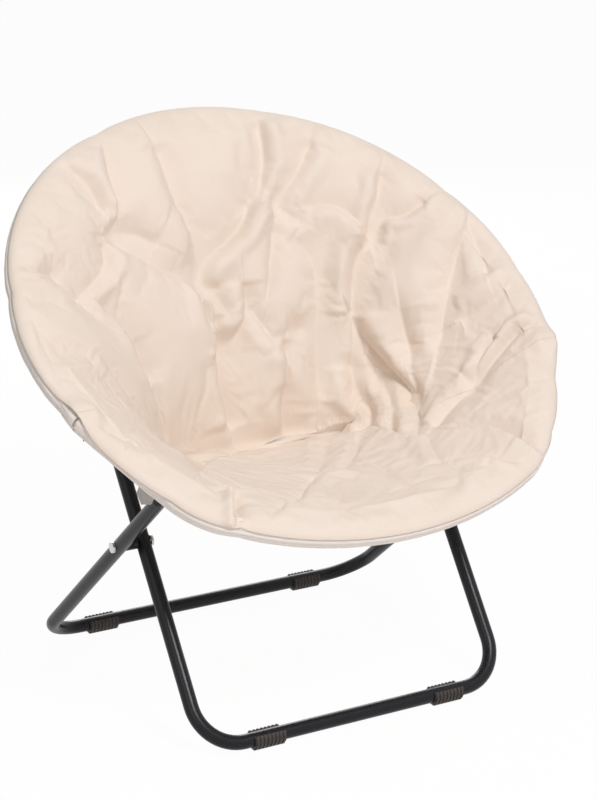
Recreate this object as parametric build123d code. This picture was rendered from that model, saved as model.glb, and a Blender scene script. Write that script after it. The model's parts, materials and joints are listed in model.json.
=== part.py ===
from build123d import *
import math
import os

# Folding saucer chair, in millimetres, +Z up, the sitter faces -Y.
# The origin is on the floor under the middle of the chair.
# Two U-shaped tube legs cross like scissors. Their tops carry a round tube ring that leans back
# and is hinged at its two sides, and a padded bowl hangs in the ring.
# The front leg frame stands in front and rises to the back of the ring; the rear one the other way.

# Tube
tube_radius = 10.0
tube_wall = 1.2
flat_thickness = 5.2
flat_width = 26.0
flat_length = 34.0
press_length = 17.0
press_overlap = 4.2

# Ring: its plane leans back, its rear is a circle, its front is flatter between two corners
ring_radius = 375.0
ring_tilt = 36.0
ring_centre_y = -3.9
ring_centre_z = 528.0
corner_x = 0.6853 * ring_radius
corner_s = -0.7973 * ring_radius
nose_drop = 0.304 * ring_radius
corner_bend = 0.3467 * ring_radius
nose_bend = 1.36 * ring_radius

# Legs: the rear one stands just inside the ring and the front one inside the rear one
sole_thickness = 2.8
leg_inset = 25.5
scissor_gap = 14.0
front_bar_y = -202.9
front_leg_bend = 61.0
front_top_length = 124.7
front_top_lean = 13.6
front_knee_bend = 120.0
rear_bar_y = 252.6
rear_leg_bend = 62.0

# Pivots and rivets
rivet_radius = 4.0
rivet_head_radius = 7.5
rivet_head_height = 3.0
running_clearance = 0.06
face_clearance = 0.2
split_clearance = 0.3
spacer_radius = 8.0
front_pivot_drop = 22.0
front_pivot_s = -0.6196 * ring_radius
back_pivot_drop = 25.0
back_pivot_s = 0.6987 * ring_radius
ear_size = 18.0
ear_weld_depth = 4.0
leg_fold = 68.0

# Side hinges of the ring
hinge_s = -ring_radius / 3
hinge_rise = 13.0
hinge_gap = 16.0
hinge_ear_radius = 9.0
tongue_thickness = 6.0
yoke_thickness = 3.0
plug_clearance = 0.2
plug_length = 10.0
collar_length = 2.0
hinge_head_height = 1.8

# Feet
foot_length = 46.0
foot_clearance = 0.15
foot_wall = 2.9
foot_rib_height = 1.1
foot_rib_count = 8
foot_rib_share = 0.55
foot_opening = 105.0
foot_sole_width = 14.0
foot_to_bend = 32.5

# Hem sleeve round the ring tube, and the webbing tabs on it
sleeve_wall = 2.4
sleeve_clearance = 0.4
sleeve_hinge_gap = 27.0
window_clearance = 1.5
tab_width = 24.0
tab_drop = 34.0
tab_point = 13.0
tab_thickness = 2.4
tab_offset = 4.0
tab_stand_off = 4.0

# Padded bowl, measured in the ring's plane and square to it
rim_top = 30.0
rim_shoulder = 14.0
rim_reach = 13.0
pad_edge_in = 18.0
pad_depth = 250.0
pad_crown = 24.0
pad_thickness = 27.0
cavity_lip = 16.0
cavity_edge_in = 22.0
pad_floor_rear = -26.0
pad_floor_front = -76.0
pad_floor_width = 330.0
pad_floor_side_s = -46.0
pad_floor_corner = 150.0
pad_floor_corner_s = -66.0
pad_steps = 10
corner_in_x = 10.0
corner_in_s = 4.0
nose_reach = 59.0
widest_s = 12.0
side_bulge = 0.043
pad_clearance = 0.3
pocket_clearance = 1.5

# Sewn tufts and the long soft channels in the back pad
tuft_radius = 34.0
tuft_depth = 10.0
channel_radius = 42.0
channel_depth = 9.0
channel_stretch = 2.6
tuft_places = [(0.71, 0.26), (0.56, 0.53), (0.38, 0.28), (0.54, 0.74), (0.20, 0.30), (0.13, 0.75)]
channel_ends = [
    ((0.38, 0.28), (0.56, 0.53)),
    ((0.54, 0.70), (0.53, 0.94)),
    ((0.20, 0.30), (0.15, 0.72)),
    ((0.85, 0.31), (0.71, 0.26)),
    ((0.57, 0.12), (0.56, 0.48)),
]

tilt = math.radians(ring_tilt)
ring_plane = Plane(
    origin=(0, ring_centre_y, ring_centre_z),
    x_dir=(1, 0, 0),
    z_dir=(0, -math.sin(tilt), math.cos(tilt)),
)
bar_z = tube_radius + sole_thickness
hinge_x = math.sqrt(ring_radius**2 - hinge_s**2)


def ring_point(x, s, n=0.0):
    # x to the sitter's left, s along the ring's plane to the back, n square to it and up
    y = ring_centre_y + s * math.cos(tilt) - n * math.sin(tilt)
    z = ring_centre_z + s * math.sin(tilt) + n * math.cos(tilt)
    return Vector(x, y, z)


def side_slope():
    return (hinge_x - corner_x) / (hinge_s - corner_s)


def front_side_x(s):
    return hinge_x + (s - hinge_s) * side_slope()


def rear_side_x(s):
    return math.sqrt(ring_radius**2 - s**2)


def ring_side_x(s):
    return front_side_x(s) if s < hinge_s else rear_side_x(s)


def crossing(low_a, high_a, low_b, high_b):
    # where two leg lines cross in the side view, each given by two points (y, z)
    way_a = (high_a[0] - low_a[0], high_a[1] - low_a[1])
    way_b = (high_b[0] - low_b[0], high_b[1] - low_b[1])
    gap = (low_b[0] - low_a[0], low_b[1] - low_a[1])
    spread = way_a[0] * way_b[1] - way_a[1] * way_b[0]
    share = (gap[0] * way_b[1] - gap[1] * way_b[0]) / spread
    return low_a[0] + share * way_a[0], low_a[1] + share * way_a[1]


rear_leg_x = ring_side_x(front_pivot_s) - leg_inset
front_leg_x = rear_leg_x - 2 * tube_radius - scissor_gap
front_foot_x = front_leg_x - front_leg_bend - foot_to_bend
rear_foot_x = rear_leg_x - rear_leg_bend - foot_to_bend

hinge_axis = ring_point(0, hinge_s, hinge_rise)
front_pivot = ring_point(0, front_pivot_s, -front_pivot_drop)
back_pivot = ring_point(0, back_pivot_s, -back_pivot_drop)
front_place = (front_pivot.Y, front_pivot.Z)
back_place = (back_pivot.Y, back_pivot.Z)
front_corner = (front_bar_y, bar_z)
rear_corner = (rear_bar_y, bar_z)
top_lean = math.radians(front_top_lean)
front_knee = (
    back_pivot.Y - front_top_length * math.sin(top_lean),
    back_pivot.Z - front_top_length * math.cos(top_lean),
)
scissor_y, scissor_z = crossing(front_corner, front_knee, rear_corner, front_place)


def bar(x0, x1, y, z, radius):
    # a round bar along X between x0 and x1
    low, high = min(x0, x1), max(x0, x1)
    return Pos(low, y, z) * Rot(0, 90, 0) * Cylinder(
        radius, high - low, align=(Align.CENTER, Align.CENTER, Align.MIN)
    )


def tube_along(path, radius):
    start = Plane(origin=path @ 0, z_dir=path % 0)
    return sweep(start * Circle(radius), path=path)


def hollow_tube(path):
    return tube_along(path, tube_radius) - tube_along(path, tube_radius - tube_wall)


def flat_end(x, tube_end, pivot):
    # the tube's end, pressed flat and rounded about the pivot hole
    along = Vector(0, pivot[0] - tube_end[0], pivot[1] - tube_end[1])
    base = Plane(origin=(x, tube_end[0], tube_end[1]), x_dir=(1, 0, 0), z_dir=along)
    pressed = base.offset(press_length) * Ellipse(flat_thickness / 2, flat_width / 2)
    squeezed = loft([base * Circle(tube_radius), pressed])
    side = Plane(origin=(x, pivot[0], pivot[1]), x_dir=along, z_dir=(1, 0, 0))
    reach = along.length - press_length + press_overlap
    blade = Circle(flat_width / 2) + Pos(-reach / 2, 0) * Rectangle(reach, flat_width)
    blade = extrude(side * blade, flat_thickness / 2, both=True)
    return squeezed + blade


def leg_path(half_width, bend, side_points, bends, pivot):
    # side_points run from the floor bar's corner up to the flat end at the pivot, as (y, z)
    end_y, end_z = side_points[-1]
    last = Vector(0, pivot[0] - end_y, pivot[1] - end_z)
    stop = Vector(0, pivot[0], pivot[1]) - last.normalized() * flat_length
    up = [(y, z) for y, z in side_points] + [(stop.Y, stop.Z)]
    right = [(-half_width, y, z) for y, z in reversed(up)]
    left = [(half_width, y, z) for y, z in up]
    radii = list(reversed(bends)) + [bend, bend] + bends
    return FilletPolyline(*(right + left), radius=radii)


def front_leg_path():
    sides = [front_corner, front_knee]
    return leg_path(front_leg_x, front_leg_bend, sides, [front_knee_bend], back_place)


def rear_leg_path():
    return leg_path(rear_leg_x, rear_leg_bend, [rear_corner], [], front_place)


def leg_frame(path, half_width, pivot):
    # a bent tube whose two ends are pressed flat round the pivot, drilled there and at the scissor
    frame = hollow_tube(path)
    end = path @ 1
    for side in (-1, 1):
        frame += flat_end(side * half_width, (end.Y, end.Z), pivot)
    hole_radius = rivet_radius + running_clearance
    for side in (-1, 1):
        x = side * half_width
        frame -= bar(x - tube_radius, x + tube_radius, pivot[0], pivot[1], hole_radius)
        frame -= bar(x - 2 * tube_radius, x + 2 * tube_radius, scissor_y, scissor_z, hole_radius)
    return frame


def foot(x, y):
    # a ribbed snap-on clip, open at the top, cut flat where it stands
    inner = tube_radius + foot_clearance
    outer = tube_radius + foot_wall
    gap = math.radians(foot_opening / 2)
    reach = 2 * outer
    wedge = Polygon(
        (0, 0), (reach * math.sin(gap), reach * math.cos(gap)), (0, 2 * reach),
        (-reach * math.sin(gap), reach * math.cos(gap)), align=None,
    )
    across = Plane(origin=(x, y, bar_z), x_dir=(0, 1, 0), z_dir=(1, 0, 0))
    sole = Pos(0, -(bar_z + outer) / 2) * Rectangle(foot_sole_width, 2 * outer - bar_z)
    shell = Circle(outer) + Pos(0, -bar_z / 2) * Rectangle(foot_sole_width, bar_z) - wedge
    clip = extrude(across * shell, foot_length / 2, both=True)
    pitch = foot_length / foot_rib_count
    for i in range(foot_rib_count):
        place = x - foot_length / 2 + (i + 0.5) * pitch
        at = Plane(origin=(place, y, bar_z), x_dir=(0, 1, 0), z_dir=(1, 0, 0))
        rib = Circle(outer + foot_rib_height) - wedge
        clip += extrude(at * rib, pitch * foot_rib_share / 2, both=True)
    clip -= bar(x - foot_length, x + foot_length, y, bar_z, inner)
    return clip - Pos(x, y, -2 * outer) * Box(2 * foot_length, 4 * outer, 4 * outer)


def scissor_rivet():
    # its head is outside the rear leg; it ends short of the front leg's tube
    outside = rear_leg_x + tube_radius
    inside = front_leg_x + tube_radius + split_clearance
    head = bar(outside, outside + rivet_head_height, scissor_y, scissor_z, rivet_head_radius)
    return head + bar(inside, outside, scissor_y, scissor_z, rivet_radius)


def scissor_rivet_inner():
    # the inner half: its head is inside the front leg
    inside = front_leg_x - tube_radius
    outside = front_leg_x + tube_radius
    head = bar(inside - rivet_head_height, inside, scissor_y, scissor_z, rivet_head_radius)
    return head + bar(inside, outside, scissor_y, scissor_z, rivet_radius)


def scissor_spacer():
    # a bush on the rivet that keeps the two legs apart, shaped to the rear leg's round side
    inside = front_leg_x + tube_radius + split_clearance
    bush = bar(inside, rear_leg_x, scissor_y, scissor_z, spacer_radius)
    bush -= bar(inside, rear_leg_x, scissor_y, scissor_z, rivet_radius)
    low = Vector(rear_leg_x, rear_corner[0], rear_corner[1])
    along = Vector(rear_leg_x, front_place[0], front_place[1]) - low
    tube = Plane(origin=low, z_dir=along) * Cylinder(
        tube_radius, along.length, align=(Align.CENTER, Align.CENTER, Align.MIN)
    )
    return bush - tube


# Ring
def rear_ring_path(gap):
    # from the right hinge round the back to the left one, gap short of the hinge line
    start = math.asin((hinge_s + gap) / ring_radius)
    sweep_angle = 180 - 2 * math.degrees(start)
    half = sweep_angle / 2
    first = CenterArc((0, 0), ring_radius, math.degrees(start), half)
    second = CenterArc((0, 0), ring_radius, math.degrees(start) + half, half)
    return ring_plane * (first + second)


def front_ring_path(gap):
    s = hinge_s - gap
    x = front_side_x(s)
    nose = corner_s - nose_drop
    return ring_plane * FilletPolyline(
        (x, s), (corner_x, corner_s), (0, nose), (-corner_x, corner_s), (-x, s),
        radius=(corner_bend, nose_bend, corner_bend),
    )


def ear(leg_x, s, drop, path):
    # a block welded to the ring tube's inner side, which the leg's flat end is riveted to
    near = leg_x + flat_thickness / 2 + face_clearance
    far = ring_side_x(s) - ear_weld_depth
    height = drop + ear_size / 2
    block = ring_plane * Pos((near + far) / 2, s, -height / 2) * Box(far - near, ear_size, height)
    place = ring_point(0, s, -drop)
    block -= bar(near, far, place.Y, place.Z, rivet_radius)
    return block - tube_along(path, tube_radius)


def pivot_rivet(leg_x, s, drop):
    # its head is on the leg's inner side and its shank ends in the ear
    inside = leg_x - flat_thickness / 2 - face_clearance
    ear_face = leg_x + flat_thickness / 2 + face_clearance
    place = ring_point(0, s, -drop)
    shank = bar(inside, ear_face + ear_size / 2, place.Y, place.Z, rivet_radius)
    return shank + bar(
        inside, inside - rivet_head_height, place.Y, place.Z, rivet_head_radius
    )


def hinge_link(gap_sign, plates, path_start, path_way):
    # plates: (inner x, outer x) pairs beside the hinge line; the plug sits in the tube's end
    end = Plane(origin=path_start, z_dir=path_way)
    link = end * Cylinder(
        tube_radius, collar_length, align=(Align.CENTER, Align.CENTER, Align.MAX)
    )
    view = Plane(
        origin=ring_point(0, hinge_s, 0), x_dir=(0, math.cos(tilt), math.sin(tilt)), z_dir=(1, 0, 0)
    )
    tail = gap_sign * hinge_gap
    far = gap_sign * (hinge_gap + tube_radius)
    half = hinge_ear_radius
    corners = [
        (0, hinge_rise + half), (0, hinge_rise - half), (tail / 2, -half),
        (far, -half), (far, half), (tail / 2, hinge_rise + half / 2),
    ]
    web = Polygon(*corners[::gap_sign], align=None)
    blade = Pos(0, hinge_rise) * Circle(hinge_ear_radius) + web
    for x0, x1 in plates:
        link += extrude(view.offset(x0) * blade, x1 - x0)
    # the root joins the plates to the collar, clear of the other half's round eye
    eye = hinge_ear_radius + window_clearance
    x0 = min(path_start.X, plates[0][0])
    root = Pos((eye + hinge_gap) / 2 * gap_sign, 0) * Rectangle(hinge_gap - eye, 2 * half)
    link += extrude(view.offset(x0) * root, plates[-1][1] - x0)
    room = hinge_gap + 2 * tube_radius
    link -= end * Cylinder(room, room, align=(Align.CENTER, Align.CENTER, Align.MIN))
    link += end.offset(-collar_length) * Cylinder(
        tube_radius - tube_wall - plug_clearance, collar_length + plug_length,
        align=(Align.CENTER, Align.CENTER, Align.MIN),
    )
    hole = rivet_radius + running_clearance
    reach = 2 * tube_radius
    return link - bar(hinge_x - reach, hinge_x + reach, hinge_axis.Y, hinge_axis.Z, hole)


def hinge_yoke():
    s = hinge_s + hinge_gap
    x = rear_side_x(s)
    inner = hinge_x - tongue_thickness / 2 - face_clearance
    outer = hinge_x + tongue_thickness / 2 + face_clearance
    way = ring_point(-s, x) - ring_point(0, 0)
    plates = [(inner - yoke_thickness, inner), (outer, outer + yoke_thickness)]
    return hinge_link(1, plates, ring_point(x, s), way)


def hinge_tongue():
    s = hinge_s - hinge_gap
    x = front_side_x(s)
    way = ring_point(-side_slope(), -1) - ring_point(0, 0)
    plates = [(hinge_x - tongue_thickness / 2, hinge_x + tongue_thickness / 2)]
    return hinge_link(-1, plates, ring_point(x, s), way)


def hinge_rivet():
    # shank through the yoke and the tongue, a head at each end
    reach = tongue_thickness / 2 + face_clearance + yoke_thickness
    y, z = hinge_axis.Y, hinge_axis.Z
    pin = bar(hinge_x - reach, hinge_x + reach, y, z, rivet_radius)
    for way in (-1, 1):
        face = hinge_x + way * reach
        pin += bar(face, face + way * hinge_head_height, y, z, rivet_head_radius)
    return pin


# Hem sleeve
sleeve_radius = tube_radius + sleeve_clearance + sleeve_wall


def window(leg_x, tube_end, pivot, s, drop):
    # room in the soft pieces for a leg's flat end with its rivet, and for the ear beside it
    along = Vector(0, pivot[0] - tube_end[0], pivot[1] - tube_end[1])
    near = leg_x - flat_thickness / 2 - face_clearance - rivet_head_height - window_clearance
    face = leg_x + flat_thickness / 2 + face_clearance
    room = Plane(origin=(leg_x, tube_end[0], tube_end[1]), z_dir=along) * Cylinder(
        tube_radius + window_clearance, flat_length / 2,
        align=(Align.CENTER, Align.CENTER, Align.MIN),
    )
    side = Plane(origin=(near, pivot[0], pivot[1]), x_dir=along, z_dir=(1, 0, 0))
    half = flat_width / 2 + window_clearance
    blade = Circle(half) + Pos(-flat_length / 2, 0) * Rectangle(flat_length, 2 * half)
    room += extrude(side * blade, face - near)
    ear_floor = -drop - ear_size / 2 - window_clearance
    far = ring_side_x(s)
    ear_room = ring_plane * Pos((face + far) / 2, s, (window_clearance + ear_floor) / 2)
    ear_room *= Box(far - face, ear_size + 2 * window_clearance, window_clearance - ear_floor)
    return room + ear_room


def sleeve(path, cuts):
    skin = tube_along(path, sleeve_radius) - tube_along(path, tube_radius + sleeve_clearance)
    for cut in cuts:
        skin -= cut
    return skin


def webbing_tab():
    # a pointed loop of webbing sewn under the hem, outside the rear leg's top
    s = front_pivot_s + tab_offset
    top = -sleeve_radius - split_clearance
    half = tab_width / 2
    outline = Polygon(
        (-half, top), (half, top), (half, top - tab_drop + tab_point), (0, top - tab_drop),
        (-half, top - tab_drop + tab_point), align=None,
    )
    along = ring_point(side_slope(), 1) - ring_point(0, 0)
    out = (ring_point(1, -side_slope()) - ring_point(0, 0)).normalized()
    place = ring_point(front_side_x(s), s) + out * tab_stand_off
    side = Plane(origin=place, x_dir=along, z_dir=out)
    return extrude(side * outline, tab_thickness)


# Padded bowl
def corner_way():
    # square to the ring at its front corner, half-way between its side and its nose
    side = Vector(1, -side_slope()).normalized()
    nose = Vector(nose_drop, -corner_x).normalized()
    return (side + nose).normalized()


def pad_edges(f, off):
    # the bowl's outline at depth share f, pushed out from the tube's line by off
    keep = 1 - f
    bevel = corner_way() * off
    corner = Vector(
        (corner_x - corner_in_x + bevel.X) * keep + pad_floor_corner * f,
        (corner_s - corner_in_s + bevel.Y) * keep + pad_floor_corner_s * f,
    )
    nose = (corner_s - nose_reach - off) * keep + pad_floor_front * f
    wide = Vector(
        (ring_radius + off) * keep + pad_floor_width / 2 * f,
        widest_s * keep + pad_floor_side_s * f,
    )
    back = (ring_radius + off) * keep + pad_floor_rear * f
    middle = (corner + wide) * 0.5
    out = Vector(wide.Y - corner.Y, corner.X - wide.X).normalized()
    side = middle + out * ((wide - corner).length * side_bulge * (1 + keep))
    left, left_side, left_corner = (wide.X, wide.Y), (side.X, side.Y), (corner.X, corner.Y)
    right, right_side, right_corner = (-wide.X, wide.Y), (-side.X, side.Y), (-corner.X, corner.Y)
    return [
        ThreePointArc(left, (0, back), right),
        ThreePointArc(right, right_side, right_corner),
        ThreePointArc(right_corner, (0, nose), left_corner),
        ThreePointArc(left_corner, left_side, left),
    ]


def pad_outline(f, off, n):
    return ring_plane.offset(n) * make_face(Curve() + pad_edges(f, off))


def top_depth(f):
    # height of the pad's top at depth share f: a slope with a crown on it
    return cavity_lip - (cavity_lip + pad_depth) * f + pad_crown * math.sin(math.pi * f)


def bowl():
    skin = [
        pad_outline(0, 0, rim_top),
        pad_outline(0, rim_reach, rim_shoulder),
        pad_outline(0, -pad_edge_in, -rim_top),
    ]
    hollow = [
        pad_outline(0, -rim_shoulder, rim_top + pad_clearance),
        pad_outline(0, -cavity_edge_in, cavity_lip),
    ]
    for i in range(1, pad_steps + 1):
        f = i / pad_steps
        skin.append(pad_outline(f, -pad_edge_in, top_depth(f) - pad_thickness))
        hollow.append(pad_outline(f, -cavity_edge_in, top_depth(f)))
    return loft(skin, ruled=True) - loft(hollow, ruled=True)


def top_point(u, f):
    # a point on the back pad's top: u runs round the back from the left, f is the depth share
    place = pad_edges(f, -cavity_edge_in)[0] @ u
    return ring_point(place.X, place.Y, top_depth(f))


def pad_dents():
    # round dents where the cover is tacked down, and long soft valleys between its folds
    cuts = []
    middle = ring_point(0, pad_floor_side_s, rim_top)
    for u, f in tuft_places:
        place = top_point(u, f)
        inward = (middle - place).normalized()
        cuts.append(Pos(*(place + inward * (tuft_radius - tuft_depth))) * Sphere(tuft_radius))
    for start, stop in channel_ends:
        low, high = top_point(*start), top_point(*stop)
        place = top_point((start[0] + stop[0]) / 2, (start[1] + stop[1]) / 2)
        along = high - low
        across = (middle - place).cross(along)
        inward = along.cross(across).normalized()
        reach = along.length * channel_stretch
        bow = ThreePointArc((0, 0), (channel_radius, reach / 2), (0, reach))
        half = make_face(Curve() + [bow, Line((0, reach), (0, 0))])
        spindle = revolve(Plane.XZ * half, axis=Axis.Z)
        root = place + inward * (channel_radius - channel_depth) - along.normalized() * reach / 2
        cuts.append(Plane(origin=root, z_dir=along) * spindle)
    return cuts


def pad_half(shell, path, way, cuts):
    # way is +1 for the back part and -1 for the front one
    size = 4 * ring_radius
    half = ring_plane * Pos(0, hinge_s + way * (size / 2 + pad_clearance / 2), 0)
    piece = shell & (half * Box(size, size, size))
    piece -= tube_along(path, sleeve_radius + pad_clearance)
    for cut in cuts:
        piece -= cut
    wide = 2 * (tube_radius + pocket_clearance)
    long = 2 * (sleeve_hinge_gap + pocket_clearance)
    top = hinge_rise + hinge_ear_radius + pocket_clearance
    deep = top + 2 * sleeve_radius
    for side in (-1, 1):
        piece -= ring_plane * Pos(side * hinge_x, hinge_s, top - deep / 2) * Box(wide, long, deep)
    return piece


def write(name, shape):
    export_step(shape, "parts/" + name + ".step")
    print(name, len(shape.solids()), "solid", round(shape.volume / 1000, 2), "cm3")


def write_pair(name, left):
    # the same piece on the sitter's left and, mirrored, on the right
    write(name + "_left", left)
    write(name + "_right", mirror(left, about=Plane.YZ))


def angle_of(point, centre):
    return math.atan2(point[1] - centre[1], point[0] - centre[0])


def fold_angles():
    # the folded state: the rear leg has turned by leg_fold, the hinge lies where both links reach
    pivot = (scissor_y, scissor_z)
    top, back = front_place, back_place
    hinge = (hinge_axis.Y, hinge_axis.Z)
    turn = -math.radians(leg_fold)
    arm = math.dist(pivot, top)
    way = angle_of(top, pivot) + turn
    new_top = (pivot[0] + arm * math.cos(way), pivot[1] + arm * math.sin(way))
    short, long = math.dist(top, hinge), math.dist(back, hinge)
    span = math.dist(new_top, back)
    along = (span**2 + long**2 - short**2) / (2 * span)
    off = math.sqrt(long**2 - along**2)
    line = angle_of(new_top, back)
    new_hinge_angle = line + math.atan2(off, along)
    new_hinge = (
        back[0] + long * math.cos(new_hinge_angle), back[1] + long * math.sin(new_hinge_angle)
    )
    rear_turn = math.degrees(new_hinge_angle - angle_of(hinge, back))
    front_turn = math.degrees(angle_of(new_top, new_hinge) - angle_of(top, hinge))
    wrap = lambda a: (a + 180) % 360 - 180
    rear_turn, front_turn = wrap(rear_turn), wrap(front_turn)
    return rear_turn, front_turn - rear_turn, -leg_fold - front_turn


os.makedirs("parts", exist_ok=True)
front_leg_line = front_leg_path()
rear_leg_line = rear_leg_path()
rear_path = rear_ring_path(hinge_gap)
front_path = front_ring_path(hinge_gap)

write("front_leg_frame", leg_frame(front_leg_line, front_leg_x, back_place))
write("rear_leg_frame", leg_frame(rear_leg_line, rear_leg_x, front_place))
write("rear_ring_tube", hollow_tube(rear_path))
write("front_ring_tube", hollow_tube(front_path))

back_end = ((front_leg_line @ 1).Y, (front_leg_line @ 1).Z)
front_end = ((rear_leg_line @ 1).Y, (rear_leg_line @ 1).Z)
back_window = window(front_leg_x, back_end, back_place, back_pivot_s, back_pivot_drop)
front_window = window(rear_leg_x, front_end, front_place, front_pivot_s, front_pivot_drop)
back_cuts = [back_window, mirror(back_window, about=Plane.YZ)]
front_cuts = [front_window, mirror(front_window, about=Plane.YZ)]
write("rear_hem_sleeve", sleeve(rear_ring_path(sleeve_hinge_gap), back_cuts))
write("front_hem_sleeve", sleeve(front_ring_path(sleeve_hinge_gap), front_cuts))

shell = bowl()
for dent in pad_dents():
    shell -= dent
front_leg_room = tube_along(front_leg_line, tube_radius + pad_clearance)
rear_leg_room = tube_along(rear_leg_line, tube_radius + pad_clearance)
write("back_pad", pad_half(shell, rear_ring_path(0), 1, back_cuts + [front_leg_room]))
write("seat_pad", pad_half(shell, front_ring_path(0), -1, front_cuts + [rear_leg_room]))

write_pair("front_foot", foot(front_foot_x, front_bar_y))
write_pair("rear_foot", foot(rear_foot_x, rear_bar_y))
write_pair("scissor_rivet", scissor_rivet())
write_pair("scissor_rivet_inner", scissor_rivet_inner())
write_pair("scissor_spacer", scissor_spacer())
write_pair("front_pivot_ear", ear(rear_leg_x, front_pivot_s, front_pivot_drop, front_path))
write_pair("front_pivot_rivet", pivot_rivet(rear_leg_x, front_pivot_s, front_pivot_drop))
write_pair("back_pivot_ear", ear(front_leg_x, back_pivot_s, back_pivot_drop, rear_path))
write_pair("back_pivot_rivet", pivot_rivet(front_leg_x, back_pivot_s, back_pivot_drop))
write_pair("hinge_yoke", hinge_yoke())
write_pair("hinge_tongue", hinge_tongue())
write_pair("hinge_rivet", hinge_rivet())
write_pair("webbing_tab", webbing_tab())

print("foot places", round(front_foot_x, 2), round(rear_foot_x, 2))
print("scissor pivot", round(scissor_y, 2), round(scissor_z, 2))
print("front pivot", round(front_pivot.Y, 2), round(front_pivot.Z, 2), "s", round(front_pivot_s, 2))
print("back pivot", round(back_pivot.Y, 2), round(back_pivot.Z, 2))
print("hinge", round(hinge_x, 2), round(hinge_axis.Y, 2), round(hinge_axis.Z, 2))
print("turns to folded", [round(a, 2) for a in fold_angles()])
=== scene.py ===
import json
import math

import bmesh
import bpy
import numpy as np
from mathutils import Matrix, Vector, noise
from mathutils.bvhtree import BVHTree


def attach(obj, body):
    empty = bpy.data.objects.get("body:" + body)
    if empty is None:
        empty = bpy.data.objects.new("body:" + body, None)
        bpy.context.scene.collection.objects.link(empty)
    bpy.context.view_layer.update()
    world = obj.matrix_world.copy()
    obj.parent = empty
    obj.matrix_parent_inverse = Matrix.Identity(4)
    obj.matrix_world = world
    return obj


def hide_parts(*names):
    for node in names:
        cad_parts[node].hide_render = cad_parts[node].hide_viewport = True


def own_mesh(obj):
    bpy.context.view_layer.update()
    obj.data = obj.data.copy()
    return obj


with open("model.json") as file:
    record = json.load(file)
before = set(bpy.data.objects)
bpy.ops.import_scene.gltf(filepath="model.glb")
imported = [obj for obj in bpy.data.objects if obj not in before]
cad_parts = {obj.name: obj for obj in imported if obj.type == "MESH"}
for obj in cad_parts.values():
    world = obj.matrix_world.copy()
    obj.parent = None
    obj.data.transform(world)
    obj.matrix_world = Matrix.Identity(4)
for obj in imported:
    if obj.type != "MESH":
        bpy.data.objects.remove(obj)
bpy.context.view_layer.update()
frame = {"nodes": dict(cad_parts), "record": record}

# Folding saucer chair: cream quilted bowl in a hinged tube ring, on two crossed U-shaped legs.
# Lengths in the dictionaries are millimetres, and mm() turns them to Blender's metres.
nodes = frame["nodes"]
sceneRoot = bpy.context.scene


def mm(value):
    return value * 0.001


def toMm(value):
    return value * 1000


def toLinear(hexColour):
    # sRGB hex to the linear colour that a shader socket takes, by the sRGB standard's own curve
    parts = [int(hexColour[i:i + 2], 16) / 255 for i in (1, 3, 5)]
    linear = [p / 12.92 if p <= 0.04045 else ((p + 0.055) / 1.055) ** 2.4 for p in parts]
    return (linear[0], linear[1], linear[2], 1.0)


def addNode(tree, kind, settings=None, links=None):
    # settings are sockets or properties by name, links are sockets fed by (node, output)
    node = tree.nodes.new(kind)
    for key, value in (settings or {}).items():
        if isinstance(key, int) or key in node.inputs:
            node.inputs[key].default_value = value
        else:
            setattr(node, key, value)
    for key, (source, output) in (links or {}).items():
        tree.links.new(source.outputs[output], node.inputs[key])
    return node


def newMaterial(name):
    # an empty material with its output
    material = bpy.data.materials.new(name)
    material.use_nodes = True
    tree = material.node_tree
    tree.nodes.clear()
    out = addNode(tree, "ShaderNodeOutputMaterial")
    return material, tree, out


def newObject(name, data):
    made = bpy.data.objects.new(name, data)
    sceneRoot.collection.objects.link(made)
    return made


# Camera: the photo's view, fitted to the four feet, the legs and the ring
camera = {
    "frame": (596, 800),
    "place": (-1370.4, -2449.4, 1280.2),
    "target": (263.6, 431.6, 245.5),
    "roll": 0.30,
    "focalPixels": 2127.0,
    "sensor": 36.0,
    "clipEnd": 50000.0,
}


def cameraAxes():
    place = np.array(camera["place"])
    ahead = np.array(camera["target"]) - place
    ahead /= np.linalg.norm(ahead)
    right = np.cross(ahead, (0, 0, 1))
    right /= np.linalg.norm(right)
    up = np.cross(right, ahead)
    roll = math.radians(camera["roll"])
    turnedRight = right * math.cos(roll) + up * math.sin(roll)
    turnedUp = up * math.cos(roll) - right * math.sin(roll)
    return place, ahead, turnedRight, turnedUp


def makeCamera():
    place, ahead, right, up = cameraAxes()
    data = bpy.data.cameras.new("chairCamera")
    data.sensor_width = camera["sensor"]
    data.sensor_fit = "AUTO"
    data.lens = camera["focalPixels"] * camera["sensor"] / max(camera["frame"])
    data.clip_end = mm(camera["clipEnd"])
    view = newObject("chairCamera", data)
    turn = Matrix((right, up, -ahead)).transposed().to_4x4()
    view.matrix_world = Matrix.Translation([mm(v) for v in place]) @ turn
    sceneRoot.camera = view


def pixelRay(px, py):
    # the ray, in millimetres, through a pixel of the photo
    place, ahead, right, up = cameraAxes()
    across = (px - camera["frame"][0] / 2) / camera["focalPixels"]
    down = (py - camera["frame"][1] / 2) / camera["focalPixels"]
    way = ahead + right * across - up * down
    return place, way / np.linalg.norm(way)


makeCamera()
print("camera set")

# Floor, backdrop and lamps
studio = {
    "floorSize": 26000.0,
    "floorColour": "#f7f3f2",
    "floorGlow": 0.965,  # share of the floor that shows as plain white to the camera
    "worldColour": "#fbf9f8",
    "worldStrength": 0.29,
    "lamps": [
        # name, place, target, size, watts
        ("keyLamp", (100, -2500, 2900), (0, 0, 450), 900, 74),
        ("fillLamp", (-2600, -2000, 1700), (0, 0, 400), 2000, 10),
        ("topLamp", (-300, 300, 3600), (0, 0, 400), 2400, 16),
        ("backLamp", (1200, 3000, 1500), (0, 0, 400), 1800, 42),
    ],
}


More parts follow.
